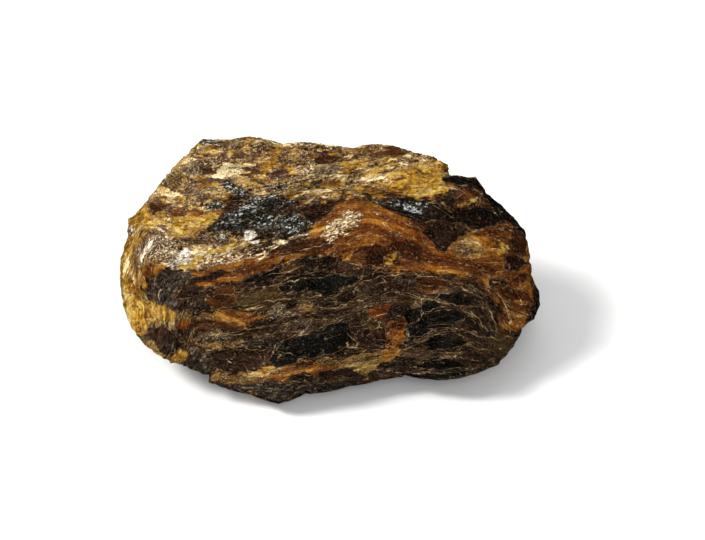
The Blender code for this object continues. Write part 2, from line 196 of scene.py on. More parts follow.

# %% [markdown]
# Along a broken layer the amber changes from window to crust. Each outline below is one pane or one
# patch, drawn as corners "x,u" on the leaning plane. The darkest panes are deep clear amber with nothing
# behind them to throw light back. Purple, red and olive ones are a little thinner or stained. Orange is
# thin enough to glow, gold is full of fine cracks, tan and cream are crushed, and silver is a nest of
# grey-brown cracks that all flash at once, the flash being a painted highlight. Jet is black glass with
# painted glints, white is a painted highlight, and crust is the broad area on top where the skin was
# crushed.

# %% Windows and crusts
PANES = {
    "crust": [
        "-48,2 -46,12 -38,20 -30,29 -20,31 0,30 18,29 28,23 27,17 15,15.5 4,15.5 -4,14 -12,16 "
        "-20,16 -26,9 -18,6.5 -11,6 -16,3.5 -24,0.5 -30,-0.5 -38,0.5 -40,-4 -36,-10 -31,-12 -38,-13 "
        "-36,-19 -30,-20 -40,-22 -48,-10",
        "26,6 32,9 39,10 42,6 38,3 30,2.5",
    ],
    "warm": [
        "-30,0 -17,3.5 -6,6 0,14 8,15 14,12 20,10 27,7 38,10 43,6 43,-6 41,-13 37,-17 36,-8 31,-3 "
        "24,-1 14,0 5,1.5 -4,3 -16,0.5 -28,-1.5",
        "-33,-9.5 -20,-9 -12,-10 -20,-12.5 -33,-12.5",
        "-17,-27 -8,-24.5 6,-22 14,-19 16,-15 10,-17 0,-19 -12,-21 -22,-23 -24,-24.5",
    ],
    "purple": [
        "-9,-22.5 -6,-22 -4,-22 -3.5,-23.5 -5.5,-24.5 -8,-24.5 -9.5,-24",
        "0.5,-22 3,-21 5.5,-21.5 6.5,-22 5.5,-23 1,-23.5",
        "-2.5,-21.5 0,-21.5 1,-22.5 1,-23.5 -2.5,-24",
        "7,-1 11,-0.5 14.5,-1 13.5,-2 8.5,-3.5 7,-3 3.5,-4.5 2,-4 5.5,-3",
        "-5.5,-10 -2,-9 6,-7.5 4.5,-8.5 -2.5,-10.5 -5.5,-11",
        "-18,-13.2 -13,-12.5 -9,-12 -10.5,-13 -14.5,-14",
        "32,-10.5 33.5,-10 35,-10.5 36,-12.5 35.5,-13 34,-13",
        "27.5,-18 30.5,-17 35.5,-18.5 33.5,-20.5 31,-21 28.5,-20 27,-19",
        "34,-2 37,-2 38.5,-3 36,-4 34,-3.5",
        "21,10 24,11 27.5,9 29,8 26.5,6.5 24,3.5 22,4.5 21.5,6 19.5,8",
        "37,3 39.5,3 41.5,1.5 40,0 37.5,0 36.5,1",
        "-7.5,13 1,14.5 2,15 0,12 -4,9.5 -5,11.5",
        "-21.5,11.5 -19,13.5 -16.5,14 -16,11.5 -18.5,10.5 -21.5,10",
        "-40,-14 -36.5,-12 -34,-14 -31,-16 -32,-17 -35.5,-18.5 -37.5,-17",
        "-27,-17.5 -22,-17.5 -18.5,-16.5 -15,-17 -14.5,-19.5 -16,-22 -19.5,-22.5 -24,-22 -26,-21 "
        "-25.5,-19.5",
        "5,-10.5 7,-9.5 8,-10.5 7.5,-11.5 6,-12 4.5,-11",
        "-1,1 4,2 8,1 7,0.5 4.5,0 1,-0.5",
        "-32,-4 -29.5,-2 -24,0 -20.5,0 -27,-3.5 -29,-6 -29,-8 -32,-9 -35,-9 -33.5,-7.5",
        "6.5,-12.5 8.5,-13 10,-12.5 11.5,-12.5 12,-14 12,-15.5 11,-16 7,-16.5 6,-15.5 5.5,-14",
        "1,-6 3,-4.5 5.5,-4 7,-4.5 3.5,-7 1.5,-7",
        "26,-12.5 28,-11 30,-10 32,-11 32.5,-13 29.5,-13.5",
        "27.5,-5 30,-5.5 31.5,-7 33.5,-10 32.5,-10 30,-8.5 27.5,-8 32.5,-7.5",
    ],
    "red": [
        "33.5,-4 36,-3.5 40,-4 42.5,-5 43,-7 36.5,-6.5 34.5,-5.5",
        "18.5,-1 21.5,-1 24.5,-2 25,-3.5 22,-5 18.5,-4.5",
        "36,-12.5 41,-13 40.5,-14 39,-14.5 36.5,-14",
        "32.5,15.5 35.5,13.5 36.5,12 31,13.5",
        "12,5.2 14,6 16.5,6 19,4.5 20,3.5 19.5,1 16.5,2.5 13.5,3.4",
        "-11.5,4.5 -7,6.5 -2.5,7 1,6 0,4.5 -10,3 -14.5,3",
        "7.5,25.5 11,25.5 14.5,26.5 16,25.5 16,24.5 8.5,24.5",
        "-39,14.5 -36.5,14.5 -34,14.5 -35,13 -37.5,11.5",
        "-19,21 -14.5,22 -16,20.5 -18.5,20",
        "-30,-10.5 -26.5,-10.5 -22,-11.5 -18.5,-12 -19,-13 -31,-13",
        "35.5,-7.5 37,-6.5 41,-7 43,-8 42.5,-9.5 41.5,-10",
        "39.5,-1 42.5,-0.5 42.5,-2.5 40.5,-3 39,-2",
        "26.5,15.5 27.5,17 30,18 32,16.5 32,15.5 26.5,14 26,14",
        "39.5,9 41.5,8 41.5,3 40,2.5 38.5,6.5",
        "5,3.5 7,5 11,5.5 13.5,4 14,3 11.5,1 7,0.5 4.5,2",
        "-27,-6 -23.5,-3.5 -20.5,-3.5 -20.5,-6.5 -22,-8 -25.5,-8.5 -26.5,-7.5",
    ],
    "olive": [
        "35.5,-14 40,-15 38.5,-17.5 36.5,-19 35.5,-17.5",
        "-17.5,-8 -16,-6 -14.5,-4 -12,-3.5 -10.5,-5.5 -15,-8.5",
        "7.5,-10 10,-11 10.5,-12 8.5,-12.5 7,-11.5",
        "-20.5,-7 -16.5,-5 -12.5,-3.4 -8.5,-3.2 -11,-6 -14,-8 -18.5,-8.5 -20,-8.5",
    ],
    "orange": [
        "12.5,-11.5 16,-10 16.5,-11.5 15,-16 13.5,-16 12.5,-14.5",
        "8.5,-8.5 13,-7 12.5,-9 11,-10.5 8,-9.5",
        "19.5,2 25.5,2 25.5,1 23.5,0.5 20,0.5",
        "30.5,2 37,2 36.5,0.5 34,-1 32,0.5",
        "31,8 34,9 36.5,8.5 38,7 36,6 33.5,5 32,6.5",
        "12,8.6 14,9.5 17,9 17.5,7.5 15.5,6 12.5,7",
        "20,3.5 32.5,2 35.5,2.5 34,0 20,0",
        "3.5,15 6.5,15.5 8.5,14 -1,11",
        "5.5,8.5 7.5,10 11.5,10.5 15.5,9 18.5,7.5 13,7.2",
        "-34,13.5 -22,12.5 -24,12 -29.5,12.5 -33.5,11.5",
        "-28.5,-3 -20,0 -11.5,1.8 -14,-0.2 -21,-2.2 -26.5,-3.5",
        "-40,-7.5 -38,-7.5 -37,-9 -38.5,-10 -40,-9.5",
        "-33.5,-11.5 -31,-10.5 -30,-12 -31,-13 -33,-13",
        "18.5,8 20,7.5 21.5,6 22,4 19.5,4.5 17.5,6",
        "8.5,11 11.5,12 14.5,11 16,10 14.5,9",
        "-40.5,-0.5 -39.5,1 -36.5,1 -35.5,0 -38.5,-2",
        "21,18.5 23.5,19 24.5,17.5 22.5,17",
        "26.5,1.5 29,1.5 30.5,1 29,0 27,-0.5 26,0.5",
    ],
    "honey": [
        "-29,-16 -18,-15.5 -18.5,-16 -22,-17.5 -27,-17",
        "-3.5,-19.5 5.5,-18 10,-17.5 12.5,-16.5 10.5,-20 7.5,-23.5 5.5,-21 -1,-20.5",
        "-7.5,-6.5 -5.5,-6 -3.5,-6.5 -2.5,-7.5 -4,-8.5 -6,-9.5 -7,-8.5",
        "29,7.5 33.5,4.5 32.5,3.5 27,2.5 25.5,4 27,6",
        "-33.5,-9.5 -31,-9 -26.5,-9.5 -24,-10.5 -31,-10.5 -32.5,-11.5 -33.5,-10.5",
        "-26,-22.5 -22.5,-23 -18,-22.5 -13.5,-21.8 -8,-21.5 -10,-22.5 -14.5,-24 -19.5,-25 -26,-24",
        "-35,18 -34,19.5 -32,21 -31,19.5 -31.5,18.5 -33.5,17",
    ],
    "dust": [
        "-25.5,8.5 -23,9 -21,7.5 -22,6 -24.5,6 -26,7",
        "-30,17 -28,17 -26.5,16 -27.5,15.5 -30,15.5 -31.5,16",
        "-14.5,-9 -11.5,-7.5 -8,-8.5 -7.5,-9.5 -9.5,-10.5 -12.5,-10.5 -14,-10",
        "-29.5,-15 -27,-13.5 -24,-13 -21.5,-14.5 -27,-15.5",
        "1,24 -1.5,23 -5,20 -3,19.5 0,20 2,22",
        "-24.5,27.5 -21,27.5 -18,27 -19.5,26 -23,25.5 -24.5,26.5",
        "-31.5,22 -29,23 -27,23.5 -25.5,22.5 -27,21 -29.5,20 -31.5,21",
    ],
    "ash": [
        "-37.5,-1.5 -35.5,0 -30,-1 -30,-2 -32.5,-3.5 -33.5,-5.5 -33.5,-7.5 -35,-8 -37,-6 -38,-4 "
        "-39,-3.5",
        "-31,-17.5 -30,-16.5 -26,-19.5 -25.5,-22 -28,-22 -31,-20",
        "-26,-24.5 -18.5,-25 -13.5,-24.2 -9,-24.8 -13,-27.2 -22,-26 -25.5,-25",
        "-13,-25.5 -9,-25 6.5,-24 5.5,-25 -3,-25.5 -8.5,-28 -11.5,-28.5 -13.5,-28 -14.5,-27",
    ],
    "gold": [
        "5.5,17.5 12.5,16.5 11.5,15.5 7.5,16 4.5,17",
        "20.5,23.5 22,24 24,23.5 25.5,22 26,21 23,20.5 21,19.5 14,19.5 14,20.5 17,21.5",
        "26,13.5 27,14 32,15.5 31,14.5 28.5,13.5",
        "2,23 8.5,24 8,22.5 3.5,21",
        "6,20 11.5,22.5 13,22 9,20 7,19.5",
        "-1,24.5 0.5,25.5 3,26 0,24",
        "-9.5,22.5 -8,22.5 -7.5,21 -8.5,20.5 -9.5,21",
        "3.5,9 4.5,10.5 5.5,10 5.5,8.5 2,7.5",
        "-10,17 -8,17 -7.5,16 -9,15.5",
        "11.5,3 15,4 12.5,0.5 11.5,1",
        "-28,25.5 -27,26.5 -25.5,27 -24,26 -24.5,25",
        "-18,27.5 -16.5,28 -16,27.5 -17.5,27",
        "-43,11 -41.5,13 -39.5,14.5 -37.5,11 -41,9 -43,10",
        "-34,10.5 -31.5,11.5 -27,12 -23,12 -26,8.5 -29,7.5 -31.5,7.5 -33.5,8.5",
        "-30,1.5 -27,3.5 -23,5 -20,7.5 -20,5.5 -22,3.5 -26.5,2.5 -30,0",
        "-41,-1 -39,-2 -38.5,-3.5 -39.5,-5 -41,-2.5",
        "-35,-19.5 -34,-18.5 -32.5,-17 -31,-17.5 -31,-19.5 -32,-20",
        "-45,2 -42.5,2 -41,-1.5 -40,-6 -37.5,-7.5 -35,-8 -33.5,-9.5 -34,-11 -38,-11 -42,-14.5 "
        "-43.5,-10 -44.5,-5.5",
        "-42.5,-13.5 -33.5,-20.5 -41,-16",
        "-44,6 -43,8 -41.5,6.5 -42.5,-0.5 -45,-0.5",
        "15,18.5 18,19 19,17.5 16.5,17",
        "35.5,5 36.5,6.5 38,6 38,4.5 37,3 35.5,3.5",
        "-13,26 -10,27 -10.5,25 -12,23.5 -13,21 -14.5,20 -16,20 -14.5,21.5 -13,24",
        "9.5,18 10,19.5 14,20.8 18,20 23.5,19.5 25,18.5 25,17 22.5,15.5 18.5,15 14,16 10.5,17",
        "-42,5.5 -40,8.5 -37.5,11 -34,12.5 -35,11 -38,9 -41,4.5",
    ],
    "tan": [
        "-2,8.5 1,11 4,12.5 7,11.5 5.5,9 0,6 -2,6.5",
        "-6,22.5 -3.5,23.5 -4,21 -5.5,20.5 -7.5,21",
        "-16,4.5 -10,7 -4,8.5 -4.5,7.5 -8.5,6.5 -15,3",
        "-28.5,0.5 -26.5,2.5 -21,4 -16.5,4.5 -12.5,6 -9.5,6.8 -14,4 -20,2 -25.5,0.5",
    ],
    "cream": [
        "12.5,21.6 15,23.6 17.5,24.5 21.5,24.5 20.5,23.5 17,23.5 14.5,21.7",
        "-9.5,20 -6,20 -3,19.5 -5.5,19 -9,19",
        "0,19.5 5.5,20 9.5,19.5 12.5,18.5 0.5,19",
        "-24.5,22.5 -21.5,23.5 -21,22.5 -22,21 -23.5,20 -24.5,21",
        "-21.5,20.5 -20,22.5 -16,23 -15,22.5 -20.5,20",
        "-38,17 -36.5,17.5 -33.5,17 -32.5,16 -35,15.5 -37.5,16",
        "-29,6.5 -27.5,6 -26.5,4.5 -28.5,3.5 -29.5,4",
        "-43.5,1.5 -43,2 -41.5,-1 -41.5,-3.5 -43,-2.5",
    ],
    "black": [
        "17,-7.5 22.5,-6.5 25,-7.5 22,-8 19.5,-9.5 19.5,-7.5",
        "-10,-2 -1.5,0 1,-1 5.5,-1 7,-2 -0.5,-6 -5.5,-4.5 -9.5,-5 -11,-3.5",
        "-19,-2.6 -16,-1 -11,0.5 -10,-1 -14.5,-2.4",
        "16.5,-8.5 21.5,-7.5 30,-9.5 26,-12.5 23,-13 17,-15.5 16.5,-14 16.5,-11.5 15.5,-10",
        "22.5,-5.5 27.5,-4.5 30,-5.5 32,-7 29.5,-7.5 27,-7.5",
        "21.5,-14 24,-14 30.5,-15.5 26.5,-17.5 24,-17 21,-17.5 20,-16.5",
        "16.5,-20.5 19,-19.5 23,-18.5 29,-20.5 26.5,-21.5 20,-21.5",
        "14,-22 21.5,-22.5 31,-21.5 28.5,-23 25.5,-23.5 17.5,-23",
        "43.5,-6.5 45,-7 45,-9 44,-10.5 42.5,-12",
        "23.5,19.5 26,20 29,20 32,17.5 26.5,18.5 24.5,18.5",
        "22,13.5 26,12.5 29,13 32,13.5 35.5,13 38,11 36,10 32,9 28,10 24,11 20,10.5",
        "31,19.5 34,16 38,12.5 41,10 42.5,7 42,6.5 39.5,9 36,12 33,15 31,18",
        "2,-11 3.5,-11.5 4.5,-13 5,-14.5 4.5,-16 3,-17 0.5,-18 -6,-19 -9.5,-21 -11.5,-21.5 -13,-20 "
        "-12.5,-18 -11,-16 -9.5,-15 -5,-14",
        "7.5,15.5 10,15.5 11.5,14 14,15.5 18,15 23,14 26,12 21.5,10.5 20,10 17.5,10.5 14,12.2 "
        "8.5,14.5",
    ],
    # Black glass with painted glints on the upper band.
    "jet_with_glints": [
        "15,14.6 18,14.8 21.5,13.4 19,12.2 16,12.6",
        "-16,19.5 -13,18.5 -7,18 -2.5,18.5 -1,18 -11.5,17.5 -16,18.5",
        "-18,14.5 -16,16.4 -14.5,15.5 -13,16.5 -7.5,14.5 -10,14 -13,11.5 -15,12",
        "-13,10 -11,11.5 -7.5,12.5 -5.5,11.5 -4,10 -5,8 -7.5,7.5 -10.5,7.5 -13,8.5",
        "8,15.2 10,15.3 11.5,14 14,15.2 16,14 14,13 9,14.6",
        "-28.5,27 -26.5,28 -24.5,27.5 -24,26 -25.5,26.5 -27.5,26.5",
        "-24,18.5 -22,19.5 -18,17 -18.5,15.5 -21,16 -22,17.5",
        "-27,14.5 -24,14.5 -22,14 -24,13 -26.5,13.5",
        "-26,9 -22,11.5 -19.5,14 -18,14.5 -15,14.5 -12.5,11.5 -12.5,8.5 -22,9 -24.5,8",
    ],
    # Grey-brown cracks on the knob, under a painted highlight.
    "silver_with_highlight": [
        "-41.5,3.5 -40.5,6 -38,7.5 -35.5,8 -31.5,4.5 -30,5 -30.5,3 -32.5,1 -34,0.5 -35.5,2 -38,2.5 "
        "-41.5,1.5",
    ],
    # Painted highlights: small near-white patches that stand in for glints of the light.
    "painted_highlight": [
        "-43,9 -42,9.5 -41.5,8.5 -42.5,8",
        "-18.5,8 -16.5,8.5 -15.5,7.5 -16.5,6.5 -18,6.5",
        "-17.5,6.5 -15,6 -15.5,5 -17,5.5",
        "-23.5,7.5 -22.5,7.5 -22.5,6.5 -23.5,6.5",
        "-33.5,1.5 -30,1.5 -29.5,4.5 -31,5.5 -32,3.5",
    ],
}
FARTHEST = -4.0


def distance_to_line(xu, line):
    """Each place's distance to a line through the given corners, and +1 on its left, -1 on its right."""
    gap, side = np.full(len(xu), np.inf), np.ones(len(xu))
    for start, end in zip(line[:-1], line[1:]):
        run = end - start
        share = np.clip((xu - start) @ run / (run @ run), 0.0, 1.0)
        offset = xu - start - share[:, None] * run
        away = np.linalg.norm(offset, axis=1)
        left = np.where(run[0] * offset[:, 1] - run[1] * offset[:, 0] > 0.0, 1.0, -1.0)
        side = np.where(away < gap, left, side)
        gap = np.minimum(gap, away)
    return gap, side


def inside_outline(xu, corners):
    inside = np.zeros(len(xu), bool)
    for (x1, u1), (x2, u2) in zip(corners, np.roll(corners, -1, axis=0)):
        crosses = (u1 > xu[:, 1]) != (u2 > xu[:, 1])
        rise = u2 - u1 if u2 != u1 else 1.0
        inside ^= crosses & (xu[:, 0] < x1 + (xu[:, 1] - u1) / rise * (x2 - x1))
    return inside


def pane_field(xu, outlines):
    """How far inside the nearest outline each place is, in mm, and negative outside all of them."""
    field = np.full(len(xu), FARTHEST)
    for outline in outlines:
        corners = corners_of(outline)
        low, high = corners.min(axis=0) + FARTHEST, corners.max(axis=0) - FARTHEST
        near = np.flatnonzero(((xu > low) & (xu < high)).all(axis=1))
        gap, _ = distance_to_line(xu[near], np.vstack([corners, corners[:1]]))
        signed = np.where(inside_outline(xu[near], corners), gap, -gap)
        field[near] = np.maximum(field[near], signed)
    return field


print("outlines drawn:", {name: len(rows) for name, rows in PANES.items()})

# %% [markdown]
# The back, the ends and the underside are made of the same layers, but no one has mapped them. There
# smooth noise, stretched along the layers, decides where the windows and crusts lie. Each finish gets
# its own slice of noise, and a threshold that sets how much of the surface it covers.

# %% The sides that are not mapped
# On these sides noise also scatters jet's painted glints, silver's painted highlight and the white painted
# highlights.
HIDDEN_SHARE = {"crust": 0.05, "warm": 0.04, "purple": 0.14, "red": 0.14, "olive": 0.18, "orange": 0.18,
                "honey": 0.18, "dust": 0.24, "ash": 0.26, "gold": 0.24, "tan": 0.38, "cream": 0.44,
                "black": 0.26, "jet_with_glints": 0.50, "silver_with_highlight": 0.62, "painted_highlight": 0.74}
HIDDEN_SIZE = np.array((13.0, 4.5, 10.0))
CRUST_SIZE = np.array((26.0, 14.0, 20.0))
HIDDEN_DEPTH = 10.0
SHAKE = 0.55
CURL = 3.0
CURL_STARTS = -34.0
CURL_RUN = 8.0
RIM_FADE = 0.3
RIM_TURN = 0.35


def wobble(places, size, seed):
    """Smooth noise at each place, about -0.5 to 0.5, with features of the given size in mm."""
    start = Vector((seed * 17.3, seed * 5.9, seed * 11.7))
    return np.array([noise.noise(Vector(p) + start) for p in places / size])


def face_share(directions):
    """1 where the surface faces the mapped side, falling to 0 behind its rim."""
    return smooth_step((directions @ OUT_OF_FACE + RIM_TURN) / RIM_FADE)


left_end = smooth_step((CURL_STARTS - places[:, 0]) / CURL_RUN)
swirled = levels + CURL * left_end * wobble(places, 4.0, 93)
sheets = np.column_stack([places[:, 0], swirled, places[:, 2]])
mapped = face_share(facing())
shaken = places[:, :2] + SHAKE * np.column_stack([wobble(places, 2.2, 91), wobble(places, 1.4, 92)])
fields = {}
for seed, (finish, outlines) in enumerate(PANES.items()):
    drawn = pane_field(shaken, outlines)
    size = CRUST_SIZE if finish in ("crust", "warm") else HIDDEN_SIZE
    undrawn = (wobble(sheets, size, 40 + seed) - HIDDEN_SHARE[finish]) * HIDDEN_DEPTH
    fields[finish] = drawn * mapped + undrawn * (1.0 - mapped)
print("share of points inside each finish:",
      {name: round(float((field > 0).mean()), 2) for name, field in fields.items()})

# %% [markdown]
# Clear panes are the smooth breaks, and crusts are the rough ones. So how far inside a clear pane a place
# lies sets how lively its relief is.

# %% Smooth and rough
CLEAR_PANES = ("purple", "red", "olive", "black")
window = np.max([fields[name] for name in CLEAR_PANES], axis=0)
crusty = smooth_step(0.5 + fields["crust"] / 3.0)
liveliness = (0.35 + 1.05 * crusty) * (1.0 - 0.6 * smooth_step(0.4 + window)) * (1.0 - 0.7 * left_end)
print("share of points in clear panes:", round(float((window > 0).mean()), 2))

# %% [markdown]
# Now the relief. Where a layer broke off, the surface steps down to the next one, and the step's edge
# is sharp. Layers of two thicknesses are stepped in turn. The waved level divided by the thickness is
# the layer's number: its whole part says which layer a point is in, and its fraction how far up that
# layer the point lies. Both are kept, because the pale edges of the layers are coloured from them later.

# %% Stepped layers
PLIES = {"ply_thick": (2.6, 15.0, 0.50), "ply_thin": (1.1, 8.0, 0.18)}
STEP_SHARE = 0.14
SHINGLE = 0.35


def ply_relief(sheets, seed, thick, long, rise):
    """Height of each point for layers of one thickness, and each point's layer number."""
    number = sheets[:, 1] / thick + 0.9 * wobble(sheets, (long * 0.6, thick * 2.5, long * 0.5), seed)
    whole = np.floor(number)
    share = number - whole
    heights = []
    for layer in (whole - 1.0, whole):
        spots = np.column_stack([sheets[:, 0] / long, layer * 3.7, sheets[:, 2] / long])
        heights.append(wobble(spots, 1.0, seed + 5))
    climb = smooth_step(share / STEP_SHARE)
    height = 2.0 * (heights[0] + (heights[1] - heights[0]) * climb)
    return rise * (height + SHINGLE * (share - 0.5) * climb), number


relief = np.zeros(len(points))
plies = {}
for seed, (name, sizes) in enumerate(PLIES.items()):
    height, plies[name] = ply_relief(sheets, 60 + seed * 10, *sizes)
    relief += height * liveliness
print("steps stand out by up to", np.abs(relief).max().round(2), "mm")

# %% [markdown]
# Glass breaks in shells: shallow curved chips, each tilted its own way, that meet in sharp ridges.
# Voronoi cells give such chips. Every place belongs to the nearest of many scattered seeds, and the
# seed decides the chip's tilt and height. Stretching the cells along the layers makes splinters.

# %% Splinters and chips
CHIPS = {"pane": ((12.0, 3.0, 9.0), 0.34, 0.5), "splinter": ((5.0, 1.6, 4.0), 0.26, 0.4),
         "chip": ((2.2, 0.9, 1.9), 0.16, 0.3)}


def chip_relief(sheets, size, rise, border, seed):
    """Height of each point, how near it is to its chip's edge in mm, and the chip's own tone."""
    height, gap, tone = np.empty((3, len(sheets)))
    start = Vector((seed * 3.1, seed * 7.7, seed * 1.3))
    half = Vector((0.5, 0.5, 0.5))
    size = np.array(size)
    for i, spot in enumerate(sheets / size):
        spot = Vector(spot) + start
        far, seeds = noise.voronoi(spot)
        tilt = noise.cell_vector(seeds[0] * 7.3 + half)
        offset = spot - seeds[0]
        height[i] = tilt[0] - 0.5 + (tilt - half).dot(offset) * 1.6 - 0.5 * offset.length_squared
        border_slope = np.linalg.norm(np.array(seeds[1] - seeds[0]) / size)
        gap[i] = 0.5 * (far[1] ** 2 - far[0] ** 2) / border_slope
        tone[i] = tilt[1]
    return height * rise * smooth_step(gap / border), gap, tone


chips = {}
for seed, (name, (size, rise, border)) in enumerate(CHIPS.items()):
    height, gap, tone = chip_relief(sheets, size, rise, border, seed + 1)
    chips[name] = (gap, tone)
    relief += height * liveliness
bulge = smooth_step(window / 1.6)
relief += 0.05 * bulge
print("with chips, relief runs from", relief.min().round(2), "to", relief.max().round(2), "mm")

# %% [markdown]
# Some cracks are long enough to be drawn one by one. Each is a short line of points. The surface below
# a line is a little lower than above it, and the crack itself is a fine groove. The distance to the
# nearest line is kept too, because crushed amber along a crack is pale.

# %% Long cracks
CRACKS = [
    "2.1,-4.3 10.7,-1.3 17.1,-0.9 23.5,-1.9 30,-4.7 33.8,-7.1 35.8,-12.9",
    "15,-5.4 20.3,-6.2 25.7,-7.3 33.2,-8.2",
    "31.7,-3.2 36.4,-5.6 38.5,-9.7 39,-13.9",
    "-6.5,-9.2 -0.1,-8.2 6.4,-6.4 13.9,-4.7",
    "-2.2,-12.4 2.1,-10.3 7.4,-8.2 13.9,-6.4",
    "15,-17.6 21.4,-14.6 25.7,-12.9 34.3,-14.4 37.5,-15",
    "19.2,-5.8 19.7,-9.7 18.8,-10.9",
    "-36.5,-11.2 -32.2,-15.7 -27.9,-17.6 -23.7,-17.6",
    "-22.6,-19.7 -19.8,-20.2 -17.9,-21.9",
    "-30.1,0 -17.2,2.6 -6.5,4.3 -0.1,5.8 4.2,7.3 12.8,7.3",
    "3.2,1.7 9.6,0.9 11.7,0 13.4,0.9 15,3.2 13.9,5.4",
    "-32.2,-6.4 -21.5,-5.1 -10.8,-2.8 -0.1,-1.1 3.2,-0.6",
    "-27.9,-9 -19.4,-7.7 -10.8,-6.4 -2.2,-5.6",
    "-26.9,-14.4 -17.2,-12.9 -8.6,-11.2 -2.2,-10.3",
    "-21.5,-17.6 -12.9,-17.2 -6.5,-18.7 4.2,-19.3 11.7,-17.2",
    "-10.8,-23.6 -2.2,-21.9 8.5,-20.6 15,-19.3",
    "-19.4,-24.7 -10.8,-24 -0.1,-24.5",
    "4.2,-13.9 5.9,-16.1 4.7,-17.6",
    "23.5,-17.2 30,-16.1 35.3,-17.6",
    "17.1,-20.4 25.7,-18.9 32.1,-19.7",
    "-27.9,15 -23.2,15.2 -18.7,15",
    "23.5,14.4 25.7,12.2 27.4,13.3",
    "26.7,15 30,17.6 32.5,16.7 32.1,15",
    "27.8,6.4 32.1,5.8 34.3,4.3 36.4,5.4 38.5,4.3",
    "30,2.1 34.3,-1.1 37.5,0",
    "37.5,1.7 39,-2.1 40.7,-6.4",
    "19.4,-9.5 22.2,-8.5 24.7,-7.9 26.2,-7.3",
    "28,-8.2 30.5,-9.4 32.3,-11.1 33.5,-12.6",
    "17,-14.1 19.4,-14.1 21.9,-12.9 24.7,-12.3 27.1,-12.6 31.1,-13.4",
    "14,-17.2 16.4,-16.7 18.5,-16.3 20.1,-15.7 21.3,-14.8",
    "23.7,-16.9 25.6,-17.7 27.4,-18.7 29.3,-19.2",
    "27.4,-17.2 29.3,-16.1 31.1,-15.4",
    "35.4,-7.4 37.2,-8.2 39.1,-8.9 42.7,-9.5",
    "32.3,-0.4 33.5,-1.4 35.4,-1.6 37.8,-1.7 39.7,-2.5",
    "29.3,-0.8 31.1,-2.2 32.9,-3.1 34.5,-4.9 35.4,-6.8",
    "25.6,-2.5 27.1,-1 26.2,0.6",
    "35.4,-2.5 37.2,-3.4 40.3,-3.7 42.4,-3.9",
    "-12.5,8.8 -11.6,11.4 -8.6,12.6 -6,12 -4.4,10.2 -4.6,8 -7.2,7.2",
    "-39.7,11.8 -38.7,6.4 -40.8,0 -39.1,-6.4 -35.5,-11.8",
]
CRACK_REACH = 2.2
CRACK_STEP = 0.30
GROOVE_WIDTH = 0.35
GROOVE_DEPTH = 0.18
FAR_FROM_CRACK = 5.0

crack_gap = np.full(len(points), FAR_FROM_CRACK)
crack_side = np.ones(len(points))
for crack in CRACKS:
    gap, side = distance_to_line(shaken, corners_of(crack))
    relief += mapped * CRACK_STEP * 0.5 * side * np.exp(-((gap / CRACK_REACH) ** 2))
    crack_side = np.where(gap < crack_gap, side, crack_side)
    crack_gap = np.minimum(crack_gap, gap)
crack_gap = crack_gap * mapped + FAR_FROM_CRACK * (1.0 - mapped)
relief -= GROOVE_DEPTH * smooth_step(1.0 - crack_gap / GROOVE_WIDTH)
print("cracks drawn:", len(CRACKS))

# %% [markdown]
# The piece rests on a flat fracture, so the relief fades out underneath, and nothing reaches below the
# surface it rests on.

# %% Push the skin in and out
directions = facing()
rests = smooth_step((-directions[:, 2] - 0.45) / 0.4)
lifted = smooth_step(points[:, 2] / 1.5)
points = points + directions * (relief * (1.0 - 0.9 * rests) * lifted)[:, None]
points[:, 2] = np.maximum(points[:, 2], 0.0)
write_points(points)
print("piece's size, mm:", np.ptp(points, axis=0).round(1))

# %% [markdown]
# Crust is grainy as well as stepped. Here Blender's own Displace modifier does the work: a vertex group
# holds how crushed each point is, and a fine procedural texture pushes those points most.

# %% Crumbs on the crust
CRUMB_SIZE = 0.7 * MM
CRUMB_HEIGHT = 0.5 * MM

crushed = np.max([fields[name] for name in ("cream", "silver_with_highlight", "tan", "jet_with_glints", "crust")], axis=0)
crushed = np.minimum(crushed, -window)
crushed = smooth_step(0.5 + crushed / 1.6) * (1.0 - rests) * lifted
crumbly = piece.vertex_groups.new(name="crumbly")
STEPS = 8
for step in range(1, STEPS + 1):
    members = np.flatnonzero(np.round(crushed * STEPS) == step)
    crumbly.add([int(i) for i in members], step / STEPS, "REPLACE")
crumb_texture = bpy.data.textures.new("crumbs", "CLOUDS")
crumb_texture.noise_scale = CRUMB_SIZE
crumb_texture.noise_depth = 2
crumbs = piece.modifiers.new("crumbs", "DISPLACE")
crumbs.texture = crumb_texture
crumbs.texture_coords = "LOCAL"
crumbs.vertex_group = "crumbly"
crumbs.strength = CRUMB_HEIGHT
crumbs.mid_level = 0.5
bpy.ops.object.modifier_apply(modifier="crumbs")
print("crushed share of the skin:", round(float(crushed.mean()), 2))

# %% [markdown]
# All this relief has moved the outline a little. The outline matters, because it is what is seen first,
# so it is drawn here once and the piece is fitted to it: every direction round the middle is stretched
# or shrunk until the rim lies on the line. Heights stay, so the piece still rests flat.

# %% Fit the outline
OUTLINE = (
    "45,-7.5 44.9,-4.5 43.3,-1 42.7,4 41.7,8.7 38.7,12.2 33.6,16.6 31.2,20 26,20.6 25.2,22.6 21.7,24.6 "
    "18,25.3 13.5,26.7 8.5,27.1 4.7,26.2 -0.3,26.8 -10.1,27.2 -17.3,28.8 -21.5,28.2 -27.4,28.2 -31,24.8 "
    "-37.5,17.4 -40.5,13.6 -43.4,11 -43.6,7 -45,2.6 -45.2,-2.2 -44.3,-8.3 -42.6,-12.7 -39.4,-16.7 "
    "-34.3,-20 -31,-20.9 -26.4,-22.8 -26,-24.2 -22.4,-25.5 -16.7,-27 -11,-28.8 -8,-28 -5.2,-26.6 "
    "4.1,-24.9 10.8,-23.6 16,-22.8 22.3,-23.8 27.4,-23.5 31.8,-22.3 35.7,-20.7 39.3,-16.5 41.4,-12.6 "
    "43.8,-10.6"
)
RIM_STEPS = 720
